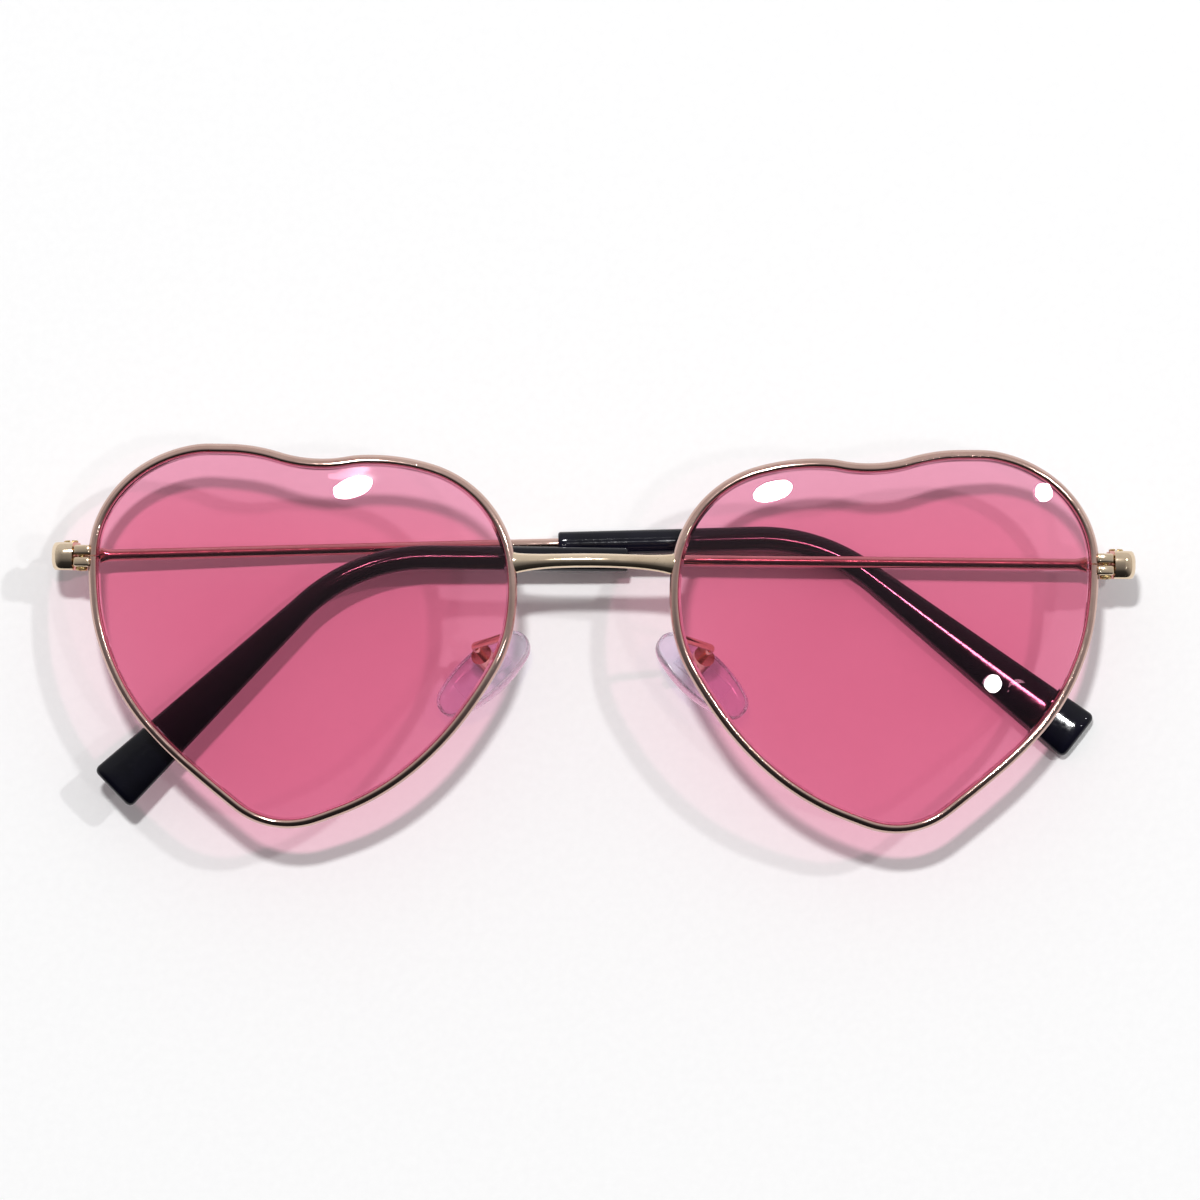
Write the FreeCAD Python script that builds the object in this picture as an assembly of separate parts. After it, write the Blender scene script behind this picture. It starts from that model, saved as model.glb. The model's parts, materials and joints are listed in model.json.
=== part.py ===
import FreeCAD, Part
import math
import os

from FreeCAD import Placement, Rotation, Vector

# Heart shaped sunglasses, folded, lying front side up.
# X runs to the wearer's left, Y towards the brow, Z out of the front. The resting face is Z = 0.
# Lengths are in millimetres and angles in degrees.

# Front
rim_width = 56.8            # outside of one rim, across
rim_height = 50.5           # outside of one rim, brow to tip
rim_gap = 19.9              # between the rims
front_height = 13.8         # middle of a rim above the resting face
hinge_rise = 10.3           # hinges and bridge above the lens centres
wrap_angle = 4.5            # each rim turns back this far towards its temple

# Points of the heart, outward and up, as shares of half the rim's width and height
heart_shares = [
    (0.985, 0.155), (0.935, 0.675), (0.510, 0.994), (0.350, 1.000), (-0.140, 0.928),
    (-0.270, 0.947), (-0.875, 0.695), (-0.988, 0.070), (-0.775, -0.415), (-0.200, -0.925),
    (0.040, -1.000), (0.550, -0.680), (0.870, -0.250),
]

# Rim wire
rim_thickness = 1.3
rim_depth = 2.0
rim_flat_share = 0.35       # flat part of the front and rear faces, before the broken outer edges
rim_crown_share = 0.45      # flat part of the outside
groove_depth = 0.5
groove_width = 1.0

# Lens
lens_thickness = 1.5
lens_curve_radius = 120.0   # the rims follow this curve too
lens_fit = 0.05             # clearance of the lens in its groove

# Film left between brazed pieces
braze_gap = 0.03

# Rim lock
lock_length = 1.9
lock_height = 2.9
lock_depth = 2.4
lock_split = 0.2
lock_overlap = 0.5          # how far the lock reaches over the round of the rim
lock_free_gap = 0.1         # lower half to the end piece
lock_screw_radius = 0.45
lock_head_radius = 0.8
lock_head_height = 0.45

# End piece
end_piece_length = 3.16     # lock to the outer face
end_piece_height = 3.7
end_wall = 1.2              # also the thickness of the temple's flat root
end_corner_radius = 1.6
end_edge_break = 0.35

# Hinge
barrel_radius = 1.25
barrel_height = 1.1
barrel_gap = 0.05
hinge_screw_radius = 0.6
hinge_head_radius = 0.95
hinge_head_height = 0.4
screw_fit = 0.02
running_fit = 0.04
leaf_thickness = 0.6
leaf_web_width = 1.4
root_clearance = 0.05       # temple root to the knuckles
stop_reach = 1.65           # end of the end piece ahead of the hinge axis
stop_gap = 0.15             # left between temple and end piece when square

# Temple wire
root_height = 2.2
root_length = 3.4
root_taper = 2.1
wire_radius = 0.75
wire_length = 64.5          # hinge axis to sleeve
bow_angle = 3.0             # the sleeve turns in from the wire
bow_radius = 100.0

# Temple sleeve
sleeve_width = 3.2
sleeve_thickness = 2.6
sleeve_end_width = 7.0
sleeve_to_bend = 26.2
sleeve_after_bend = 34.8
sleeve_bend_radius = 24.0
sleeve_corner_radius = 1.5
sleeve_edge_radius = 0.95
sleeve_fit = 0.05
core_short = 7.0            # the wire stops this far from the end of the sleeve

# Folded temples: the right one lies outermost, flat on the resting face
left_slope_angle = 0.5
left_rise_angle = 0.15
right_rise_angle = 1.95
left_bend_angle = 44.2      # ear bends, set by hand on the real frame
right_bend_angle = 39.2

# Nose pads
pad_length = 15.0
pad_width = 7.4
pad_thickness = 2.4
pad_end_radius = 2.6
pad_face_radius = 1.3
pad_back_break = 0.4
pad_splay_angle = 41.7
pad_tilt_angle = 37.0
pad_shift = 1.5             # middle of the pad beyond its screw
cup_across = 14.8           # middle of the pad box from the middle of the bridge
cup_drop = 2.2              # middle of the pad box below the lens centres
cup_radius = 1.45
cup_base = 0.6
cup_floor = 1.0             # screw to the floor of the slot
cup_lip = 0.8               # screw to the open end of the pad box
tab_thickness = 0.9
tab_radius = 0.8
tab_reach = 1.3             # screw to the back of the pad
slot_fit = 0.06
insert_length = 8.0
insert_width = 3.4
insert_thickness = 0.5
insert_depth = 0.5
insert_fit = 0.02
pad_screw_radius = 0.35
pad_head_radius = 0.6
pad_head_height = 0.35

# Pad arm
arm_radius = 0.5
arm_rise = 0.2              # where it leaves the rim, above the lens centres
arm_leg = 1.5
arm_stub = 2.4
arm_bend_radius = 1.0

# Bridge
bridge_middle_height = 1.85
bridge_end_height = 2.9
bridge_depth = 1.7
bridge_arch = 0.5
bridge_bow = 0.9
bridge_section_shares = [-1, -0.6, 0, 0.6, 1]
bridge_sides = 12

# Every cut runs this far past what it cuts
overrun = 1.0

# Bends of round wire are made in this many steps
bend_steps = 3

# Share of an arc that the search for a height on it may leave
bisect_share = 1e-9

# Derived positions
lens_across = (rim_gap + rim_width) / 2
root_inner = barrel_radius + root_clearance
root_outer = root_inner + end_wall
wire_offset = (root_inner + root_outer) / 2
hinge_stack = barrel_height / 2 + barrel_gap + barrel_height
bow = math.radians(bow_angle)
bow_start = wire_length - bow_radius * math.sin(bow)
bow_shift = bow_radius * (1 - math.cos(bow))
hinge_height = (sleeve_thickness / 2 + (wire_offset - bow_shift) * math.cos(bow)
                + wire_length * math.sin(bow))
x_axis = Vector(1, 0, 0)
y_axis = Vector(0, 1, 0)
z_axis = Vector(0, 0, 1)
origin = Vector(0, 0, 0)


def box(x0, x1, y0, y1, z0, z1):
    """Box between two corners."""
    return Part.makeBox(x1 - x0, y1 - y0, z1 - z0, Vector(x0, y0, z0))


def turned(vector, degrees, axis):
    """Vector turned about an axis."""
    return Rotation(axis, degrees).multVec(vector)


def placed(shape, placement):
    """Copy of a shape moved by a placement."""
    moved = shape.copy()
    moved.Placement = placement.multiply(moved.Placement)
    return moved


def mirrored(shape):
    """The same piece on the other side of the face."""
    return shape.mirror(origin, x_axis)


def placed_as_is(shape):
    """The piece on its own side."""
    return shape


# Heart outline as tangent arcs

def point_directions(points):
    """Direction of the outline at each of its points, from the circle through its neighbours."""
    directions = []
    for index, here in enumerate(points):
        before = here - points[index - 1]
        after = points[(index + 1) % len(points)] - here
        direction = before * (after.Length / before.Length) + after * (before.Length / after.Length)
        directions.append(direction.normalize())
    return directions


def tangent_arcs(points):
    """Closed run of tangent arcs through points, two for each stretch: start, direction, turn, chord."""
    directions = point_directions(points)
    arcs = []
    for index, start in enumerate(points):
        following = (index + 1) % len(points)
        end = points[following]
        leave = directions[index]
        arrive = directions[following]
        chord = end - start
        along = chord.dot(leave + arrive)
        spread = 2 * (1 - leave.dot(arrive))
        handle = chord.dot(chord) / (along + math.sqrt(along * along + spread * chord.dot(chord)))
        middle = (start + end + (leave - arrive) * handle) * 0.5
        first = middle - start
        first_turn = 2 * signed_angle(leave, first)
        second = end - middle
        second_turn = 2 * signed_angle(second, arrive)
        arcs.append((start, leave, first_turn, first.Length))
        arcs.append((middle, turned(arrive, -second_turn, z_axis), second_turn, second.Length))
    return arcs


def signed_angle(first, second):
    """Angle from one flat vector to another, anticlockwise."""
    return math.degrees(math.atan2(first.cross(second).z, first.dot(second)))


def arc_centre(arc):
    """Centre of an arc."""
    start, direction, turn, chord = arc
    radius = chord / (2 * math.sin(math.radians(turn) / 2))
    return start + z_axis.cross(direction) * radius


# The rims follow the curve of the lens, so the flat outline is laid on the lens's ball. The flat map
# keeps circles as circles, so every arc stays an arc that turns about an axis through the ball's centre.

mean_reach = (rim_width + rim_height) / 4
lens_rise = lens_curve_radius - math.sqrt(lens_curve_radius ** 2 - mean_reach ** 2)
ball_centre = Vector(0, 0, lens_rise - lens_curve_radius)


def flat_point(across, up):
    """Point of the flat map for a point of the ball."""
    share = (1 + math.sqrt(1 - (across ** 2 + up ** 2) / lens_curve_radius ** 2)) / 2
    return Vector(across / share, up / share, 0)


def ball_point(flat):
    """Point of the ball for a point of the flat map."""
    share = 1 / (1 + flat.dot(flat) / (2 * lens_curve_radius) ** 2)
    return ball_centre + Vector(flat.x * share, flat.y * share, lens_curve_radius * (2 * share - 1))


def ball_arc(arc):
    """An arc laid on the ball: its start, axis, turn, and the outward and forward directions there."""
    start, direction, turn, chord = arc
    centre = arc_centre(arc)
    flat = [centre + turned(start - centre, turn * part, z_axis) for part in (0, 0.5, 1)]
    first, middle, last = [ball_point(point) for point in flat]
    axis = (middle - first).cross(last - middle).normalize()
    hub = ball_centre + axis * (first - ball_centre).dot(axis)
    angle = math.degrees((first - hub).getAngle(last - hub))
    forward = (first - ball_centre).normalize()
    outward = axis.cross(first - hub).cross(forward).normalize()
    return first, axis, angle, outward, forward


heart_points = [flat_point(u * rim_width / 2, v * rim_height / 2) for u, v in heart_shares]
heart = [ball_arc(arc) for arc in tangent_arcs(heart_points)]


def swept_faces(profile):
    """Faces of a profile taken all round the heart. The profile gives edges from (outward, forward)."""
    faces = []
    for start, axis, angle, outward, forward in heart:
        for edge in profile(lambda r, w: start + outward * r + forward * w):
            faces.append(edge.revolve(ball_centre, axis, angle))
    return faces


def ball_face(outset, level):
    """Curved face inside the heart, its edge moved outward and forward."""
    edges = []
    for start, axis, angle, outward, forward in heart:
        spoke = start + outward * outset + forward * level - ball_centre
        bends = [ball_centre + turned(spoke, angle * part, axis) for part in (0, 0.5, 1)]
        edges.append(Part.Arc(*bends).toShape())
    ball = Part.makeSphere(spoke.Length, ball_centre, -y_axis)
    face = Part.Face(ball.Faces[0].Surface, Part.Wire(edges))
    face.validate()
    return face


def sewn_solid(faces):
    """Solid inside a closed set of faces."""
    shell = Part.makeShell(faces)
    shell.sewShape()
    solid = Part.makeSolid(shell)
    if solid.Volume < 0:
        solid.reverse()
    return solid


def outline_frame(height, side):
    """Frame on the outline at a height, on the temple side (1) or nose side (-1): outward, up, forward."""
    for start, axis, angle, outward, forward in heart:
        spoke = start - ball_centre
        low, high = 0, 1
        rises = [(ball_centre + turned(spoke, angle * part, axis)).y > height for part in (low, high)]
        if rises[0] == rises[1] or start.x * side < 0:
            continue
        while high - low > bisect_share:
            middle = (low + high) / 2
            point = ball_centre + turned(spoke, angle * middle, axis)
            if (point.y > height) == rises[0]:
                low = middle
            else:
                high = middle
        facing = (point - ball_centre).normalize()
        up = (y_axis - facing * facing.y).normalize()
        return Placement(point, Rotation(up.cross(facing), up, facing, "ZXY"))


# Front pieces, in the frame of one lens: outward, up, forward

def line_edges(at, corners):
    """Straight edges from corner to corner of a profile."""
    return [Part.LineSegment(at(*a), at(*b)).toShape() for a, b in zip(corners, corners[1:])]


def grown(corners, grow):
    """Closed profile moved outward by grow. Its corners run anticlockwise."""
    points = [Vector(r, w, 0) for r, w in corners]
    moved = []
    for index, point in enumerate(points):
        before = (point - points[index - 1]).normalize().cross(z_axis)
        after = (points[(index + 1) % len(points)] - point).normalize().cross(z_axis)
        corner = point + (before + after) * (grow / (1 + before.dot(after)))
        moved.append((corner.x, corner.y))
    return moved


def rim_ring(grow):
    """Rim wire all round, grooved inside, with broken edges outside, larger by grow."""
    inner = -rim_thickness
    half = rim_depth / 2
    shoulder = inner + rim_flat_share * rim_thickness
    crown = rim_crown_share * half
    groove = groove_width / 2
    corners = [(shoulder, half), (inner, half), (inner, groove), (inner + groove_depth, 0), (inner, -groove),
               (inner, -half), (shoulder, -half), (0, -crown), (0, crown)]
    ring = grown(corners, grow)
    return sewn_solid(swept_faces(lambda at: line_edges(at, ring + ring[:1])))


lock_place = outline_frame(hinge_rise, 1)


def make_rim():
    """Rim wire, cut through at the lock."""
    cut = box(-rim_thickness - overrun, overrun, -lock_split / 2, lock_split / 2, -rim_depth, rim_depth)
    return rim_ring(0).cut(placed(cut, lock_place))


def make_lens():
    """Curved lens with a bevel round its edge that sits in the groove."""
    edge = -rim_thickness - lens_fit
    bevel = groove_width / 2 - lens_fit
    half = lens_thickness / 2
    corners = [(edge, half), (edge, bevel), (edge + groove_depth, 0), (edge, -bevel), (edge, -half)]
    bevels = swept_faces(lambda at: line_edges(at, corners))
    return sewn_solid(bevels + [ball_face(edge, half), ball_face(edge, -half)])


# Rim lock in its own frame on the outline: outward, up, forward

def lock_block(side, grow):
    """Plain block of one half of the rim lock, upper (1) or lower (-1), larger by grow."""
    low, high = sorted((side * (lock_split / 2 - grow), side * (lock_height / 2 + grow)))
    return box(-lock_overlap, lock_length + grow, low, high, -lock_depth / 2 - grow, lock_depth / 2 + grow)


def make_lock(side, grown_rim):
    """One half of the rim lock, seated on the rim, with its screw hole."""
    bore = Part.makeCylinder(lock_screw_radius + screw_fit, lock_height + overrun,
                             Vector(lock_length / 2, -(lock_height + overrun) / 2, 0), y_axis)
    return placed(lock_block(side, 0).cut(bore), lock_place).cut(grown_rim)


def headed_screw(shank_radius, shank_length, head_radius, head_height):
    """Screw along Y, its head above zero and its shank below."""
    shank = Part.makeCylinder(shank_radius, shank_length, Vector(0, -shank_length, 0), y_axis)
    head = Part.makeCylinder(head_radius, head_height, origin, y_axis)
    return shank.fuse(head).removeSplitter()


def make_lock_screw():
    """Screw of the rim lock, in from below."""
    screw = headed_screw(lock_screw_radius, lock_height, lock_head_radius, lock_head_height)
    seat = Vector(lock_length / 2, -lock_height / 2 - screw_fit, 0)
    return placed(screw, lock_place.multiply(Placement(seat, Rotation(x_axis, 180))))


lens_place = Placement(Vector(lens_across, 0, front_height), Rotation(y_axis, wrap_angle))

# End piece and hinge, seen from above in X and Z

lock_frame = lens_place.multiply(lock_place)
lock_corner = lock_frame.multVec(Vector(lock_length, 0, 0))
end_face = lock_corner.x + end_piece_length
hinge_across = end_face - root_outer
foot_front = lock_corner.z + lock_depth / 2
foot_rear = lock_corner.z - lock_depth / 2


def make_end_piece():
    """End piece from the lock round to the stop face that the open temple meets."""
    back = hinge_height + stop_reach
    inside = end_face - end_wall
    near = lock_corner.x - lock_length / 2
    low = hinge_rise - end_piece_height / 2
    corners = [
        (near, foot_front), (end_face, foot_front), (end_face, back), (inside, back),
        (inside, foot_rear), (near, foot_rear),
    ]
    ring = [Vector(x, low, z) for x, z in corners]
    block = Part.Face(Part.makePolygon(ring + ring[:1])).extrude(y_axis * end_piece_height)
    outer = [edge for edge in block.Edges
             if edge.BoundBox.YLength > end_piece_height / 2
             and edge.BoundBox.XMin > inside and edge.BoundBox.ZMin > foot_rear]
    block = block.makeFillet(end_corner_radius, outer)
    rims = [edge for edge in block.Edges
            if edge.BoundBox.YLength < end_piece_height / 2
            and (edge.BoundBox.XMax > inside + end_wall / 2)]
    block = block.makeChamfer(end_edge_break, rims)
    inboard = box(-lock_length, lock_length + braze_gap, -end_piece_height, end_piece_height,
                  -lock_depth, lock_depth)
    lower = lock_block(-1, lock_free_gap)
    return block.cut(placed(inboard, lock_frame)).cut(placed(lower, lock_frame))


def barrel(low, high, bore_radius):
    """Hinge knuckle about Y."""
    tube = Part.makeCylinder(barrel_radius, high - low, Vector(0, low, 0), y_axis)
    bore = Part.makeCylinder(bore_radius, high - low + 2 * overrun, Vector(0, low - overrun, 0), y_axis)
    return tube, bore


# Hinge pieces in the frame of a folded temple: along the temple, up, away from the front

def make_front_leaf():
    """Two knuckles on a base that is brazed behind the end piece."""
    top = foot_rear - hinge_height - braze_gap
    base_near = hinge_across - lock_corner.x
    base_far = (leaf_web_width + leaf_thickness) / 2
    leaf = box(-base_far, base_near, -hinge_stack, hinge_stack, -top, leaf_thickness - top)
    bores = []
    for side in (-1, 1):
        low, high = sorted((side * (barrel_height / 2 + barrel_gap), side * hinge_stack))
        tube, bore = barrel(low, high, hinge_screw_radius + screw_fit)
        web = box(-leaf_web_width / 2, leaf_web_width / 2, low, high, -top, 0)
        leaf = leaf.fuse(tube).fuse(web)
        bores.append(bore)
    return leaf.removeSplitter().cut(bores[0]).cut(bores[1])


def make_temple_leaf():
    """One knuckle with a plate that is brazed to the temple's root."""
    half = barrel_height / 2
    seat = root_inner - braze_gap
    tube, bore = barrel(-half, half, hinge_screw_radius + running_fit)
    web = box(0, barrel_radius + leaf_thickness, -half, half, seat - leaf_thickness, seat)
    plate = box(barrel_radius + root_clearance * 2, root_length, -root_height / 2, root_height / 2,
                seat - leaf_thickness, seat)
    return tube.fuse(web).fuse(plate).removeSplitter().cut(bore)


def make_hinge_screw():
    """Hinge screw, in from above."""
    screw = headed_screw(hinge_screw_radius, 2 * hinge_stack, hinge_head_radius, hinge_head_height)
    return placed(screw, Placement(Vector(0, hinge_stack + screw_fit, 0), Rotation()))


def bent_path(corners, bend_radius):
    """Points of a path with each inner corner rounded in short steps."""
    path = [corners[0]]
    for before, corner, after in zip(corners, corners[1:], corners[2:]):
        into = (corner - before).normalize()
        out = (after - corner).normalize()
        axis = into.cross(out).normalize()
        turn = into.getAngle(out)
        start = corner - into * (bend_radius * math.tan(turn / 2))
        centre = start + axis.cross(into) * bend_radius
        for step in range(bend_steps + 1):
            path.append(centre + turned(start - centre, math.degrees(turn) * step / bend_steps, axis))
    return path + [corners[-1]]


def round_wire(path, radius):
    """Round wire along a path."""
    ring = Part.Wire(Part.makeCircle(radius, path[0], path[1] - path[0]))
    return Part.makePolygon(path).makePipeShell([ring], True, False, 1)


# The sleeve lies flat in its own frame: along, up, away from the front

sleeve_place = Placement(Vector(wire_length, 0, wire_offset - bow_shift), Rotation(y_axis, bow_angle))
bend_centre = Vector(sleeve_to_bend, -sleeve_bend_radius, 0)


def sleeve_corners(bend, far_short):
    """Corners of the sleeve's middle line, from its start to far_short of its end."""
    run = sleeve_bend_radius * math.tan(math.radians(bend) / 2)
    corner = Vector(sleeve_to_bend + run, 0, 0)
    return [origin, corner, corner + turned(x_axis, -bend, z_axis) * (run + sleeve_after_bend - far_short)]


def make_sleeve(bend):
    """Sleeve with the ear bend and a widened, rounded end."""
    half = sleeve_width / 2
    flare = math.degrees(math.atan((sleeve_end_width - sleeve_width) / 2 / sleeve_after_bend))
    end = sleeve_corners(bend, 0)[-1]
    heading = turned(x_axis, -bend, z_axis)

    def side(sign):
        first = Vector(0, sign * half, 0)
        turn = bend - sign * flare
        spoke = y_axis * (sleeve_bend_radius + sign * half)
        arc = [bend_centre + turned(spoke, -turn * part, z_axis) for part in (0, 0.5, 1)]
        leaving = turned(x_axis, -turn, z_axis)
        last = arc[2] + leaving * ((end - arc[2]).dot(heading) / leaving.dot(heading))
        edges = [Part.LineSegment(first, arc[0]).toShape(), Part.Arc(*arc).toShape(),
                 Part.LineSegment(arc[2], last).toShape()]
        return edges, first, last

    upper, upper_start, upper_end = side(1)
    lower, lower_start, lower_end = side(-1)
    caps = [Part.LineSegment(upper_end, lower_end).toShape(),
            Part.LineSegment(lower_start, upper_start).toShape()]
    outline = Part.Wire(Part.__sortEdges__(upper + lower + caps))
    flat = placed(Part.Face(outline), Placement(Vector(0, 0, -sleeve_thickness / 2), Rotation()))
    body = flat.extrude(z_axis * sleeve_thickness)
    corners = [edge for edge in body.Edges
               if edge.BoundBox.ZLength > sleeve_thickness / 2
               and (edge.Vertexes[0].Point - end).dot(heading) > -sleeve_thickness]
    body = body.makeFillet(sleeve_corner_radius, corners)
    rims = [edge for edge in body.Edges
            if edge.BoundBox.ZLength < sleeve_thickness / 2 and edge.BoundBox.XLength > sleeve_thickness / 2]
    body = body.makeFillet(sleeve_edge_radius, rims)
    bore = bent_path(sleeve_corners(bend, core_short - overrun), sleeve_bend_radius)
    bore[0] = Vector(-overrun, 0, 0)
    return placed(body.cut(round_wire(bore, wire_radius + sleeve_fit)), sleeve_place)


def make_temple_wire(bend):
    """Temple wire with its flat root and the core that runs on inside the sleeve."""
    butt = stop_reach - stop_gap
    taper_end = root_length + root_taper
    bar = Part.makeCylinder(root_height / 2, butt + root_length, Vector(-butt, 0, 0), x_axis)
    cone = Part.makeCone(root_height / 2, wire_radius, root_taper, Vector(root_length, 0, 0), x_axis)
    flat = end_wall / 2
    wide = root_height / 2
    corners = [
        (-butt, -flat), (root_length, -flat), (taper_end, -wide),
        (taper_end, wide), (root_length, flat), (-butt, flat),
    ]
    ring = [Vector(t, -root_height, n) for t, n in corners]
    slab = Part.Face(Part.makePolygon(ring + ring[:1])).extrude(y_axis * root_height * 2)
    root = bar.fuse(cone).removeSplitter().common(slab)
    level = Vector(0, 0, wire_offset)
    core = bent_path(sleeve_corners(bend, core_short), sleeve_bend_radius)
    path = [level + x_axis * taper_end, level + x_axis * bow_start]
    wire = round_wire(path + [sleeve_place.multVec(point) for point in core], wire_radius)
    return placed(root, Placement(level, Rotation())).fuse(wire).removeSplitter()


def hinge_place(rise):
    """Frame of a hinge on the wearer's left, with the temple's rise."""
    turn = Rotation(y_axis, 180).multiply(Rotation(z_axis, rise))
    return Placement(Vector(hinge_across, hinge_rise, hinge_height), turn)


def temple_place(rise, slope):
    """Frame of a folded temple on the wearer's left."""
    return hinge_place(rise).multiply(Placement(origin, Rotation(y_axis, -slope)))


# Nose pads in the frame of the pad screw: along the pad, along the screw, towards the nose

def oval(length, width, end_radius, level):
    """Flat oval of four tangent arcs at a level."""
    a = length / 2
    b = width / 2
    reach = a - end_radius
    side_radius = (reach ** 2 + b ** 2 - end_radius ** 2) / (2 * (b - end_radius))
    lift = side_radius - b
    slope = math.atan2(lift, reach)
    join_x = reach + end_radius * math.cos(slope)
    join_y = end_radius * math.sin(slope)
    edges = []
    for side in (-1, 1):
        edges.append(Part.Arc(Vector(side * join_x, -join_y, level), Vector(side * a, 0, level),
                              Vector(side * join_x, join_y, level)).toShape())
        edges.append(Part.Arc(Vector(-join_x, side * join_y, level), Vector(0, side * b, level),
                              Vector(join_x, side * join_y, level)).toShape())
    return Part.Face(Part.Wire(Part.__sortEdges__(edges)))


def insert_shape(grow):
    """Plate inside the pad with the tab that the screw goes through, larger by grow."""
    level = tab_reach + insert_depth
    reach = insert_length / 2 + grow
    across = insert_width / 2 + grow
    plate = box(pad_shift - reach, pad_shift + reach, -across, across,
                level - grow, level + insert_thickness + grow)
    half = tab_thickness / 2 + grow
    leg = box(-tab_radius - grow, tab_radius + grow, -half, half, 0, level + insert_thickness / 2)
    eye = Part.makeCylinder(tab_radius + grow, 2 * half, Vector(0, -half, 0), y_axis)
    return plate.fuse([leg, eye]).removeSplitter()


def make_insert():
    """Stiff core of the pad."""
    hole = Part.makeCylinder(pad_screw_radius + running_fit, tab_thickness + 2 * overrun,
                             Vector(0, -tab_thickness / 2 - overrun, 0), y_axis)
    return insert_shape(0).cut(hole)


def make_pad():
    """Soft pad round its core."""
    face = oval(pad_length, pad_width, pad_end_radius, tab_reach)
    body = placed(face.extrude(z_axis * pad_thickness), Placement(Vector(pad_shift, 0, 0), Rotation()))
    top = [edge for edge in body.Edges if edge.BoundBox.ZMin > tab_reach + pad_thickness / 2]
    body = body.makeFillet(pad_face_radius, top)
    bottom = [edge for edge in body.Edges if edge.BoundBox.ZMax < tab_reach + pad_back_break]
    body = body.makeChamfer(pad_back_break, bottom)
    return body.cut(insert_shape(insert_fit))


def make_cup():
    """Pad box, a round cup with a slot for the tab and a cross hole for the screw."""
    floor = -cup_floor - cup_base
    cup = Part.makeCylinder(cup_radius, cup_lip - floor, Vector(0, 0, floor))
    half = tab_thickness / 2 + slot_fit
    slot = box(-cup_radius - overrun, cup_radius + overrun, -half, half, -cup_floor, cup_lip + overrun)
    hole = Part.makeCylinder(pad_screw_radius + screw_fit, 2 * (cup_radius + overrun),
                             Vector(0, -cup_radius - overrun, 0), y_axis)
    return cup.cut(slot).cut(hole)


def make_pad_screw():
    """Pad screw across the pad box."""
    screw = headed_screw(pad_screw_radius, 2 * cup_radius, pad_head_radius, pad_head_height)
    return placed(screw, Placement(Vector(0, cup_radius + screw_fit, 0), Rotation()))


pad_along = turned(x_axis, -pad_splay_angle, z_axis)
pad_normal = turned(turned(-y_axis, -pad_splay_angle, z_axis), 90 - pad_tilt_angle, pad_along)
pad_cross = pad_normal.cross(pad_along)
# the lowest line of the pad's round edge touches the resting face
pad_round = Vector(0, pad_face_radius - pad_width / 2, tab_reach + pad_thickness - pad_face_radius)
pad_screw_height = pad_face_radius - pad_round.y * pad_cross.z - pad_round.z * pad_normal.z
cup_reach = pad_normal * (cup_floor + cup_base)
pad_screw_place = Vector(cup_across + cup_reach.x, -cup_drop + cup_reach.y, pad_screw_height)
pad_place = Placement(pad_screw_place, Rotation(pad_along, pad_cross, pad_normal, "ZXY"))


def make_pad_arm():
    """Wire from the back of the rim to the pad box."""
    rim_frame = lens_place.multiply(outline_frame(arm_rise, -1))
    rear = -rim_depth / 2 - braze_gap
    foot = rim_frame.multVec(Vector(rim_thickness / 2, 0, rear))
    knee = rim_frame.multVec(Vector(rim_thickness / 2, 0, rear - arm_leg))
    seat = pad_screw_place - pad_normal * (cup_floor + cup_base + braze_gap)
    elbow = seat - pad_normal * arm_stub
    return round_wire(bent_path([foot, knee, elbow, seat], arm_bend_radius), arm_radius)


def make_bridge(grown_rims):
    """Bridge wire, arched and bowed, widening to its brazed ends."""
    end = lens_place.multiply(outline_frame(hinge_rise, -1)).multVec(Vector(lock_overlap, 0, 0))
    wires = []
    for part in bridge_section_shares:
        height = bridge_middle_height + (bridge_end_height - bridge_middle_height) * part ** 4
        lift = bridge_bow * (1 - part ** 2)
        centre = Vector(end.x * part, hinge_rise - bridge_arch * part ** 2, end.z + lift)
        ring = []
        for side in range(bridge_sides + 1):
            angle = 2 * math.pi * side / bridge_sides
            ring.append(centre + Vector(0, math.cos(angle) * height / 2, math.sin(angle) * bridge_depth / 2))
        wires.append(Part.makePolygon(ring))
    bridge = Part.makeLoft(wires, True, False)
    for rim in grown_rims:
        bridge = bridge.cut(rim)
    return max(bridge.Solids, key=lambda solid: solid.Volume)


# Assembly

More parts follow.
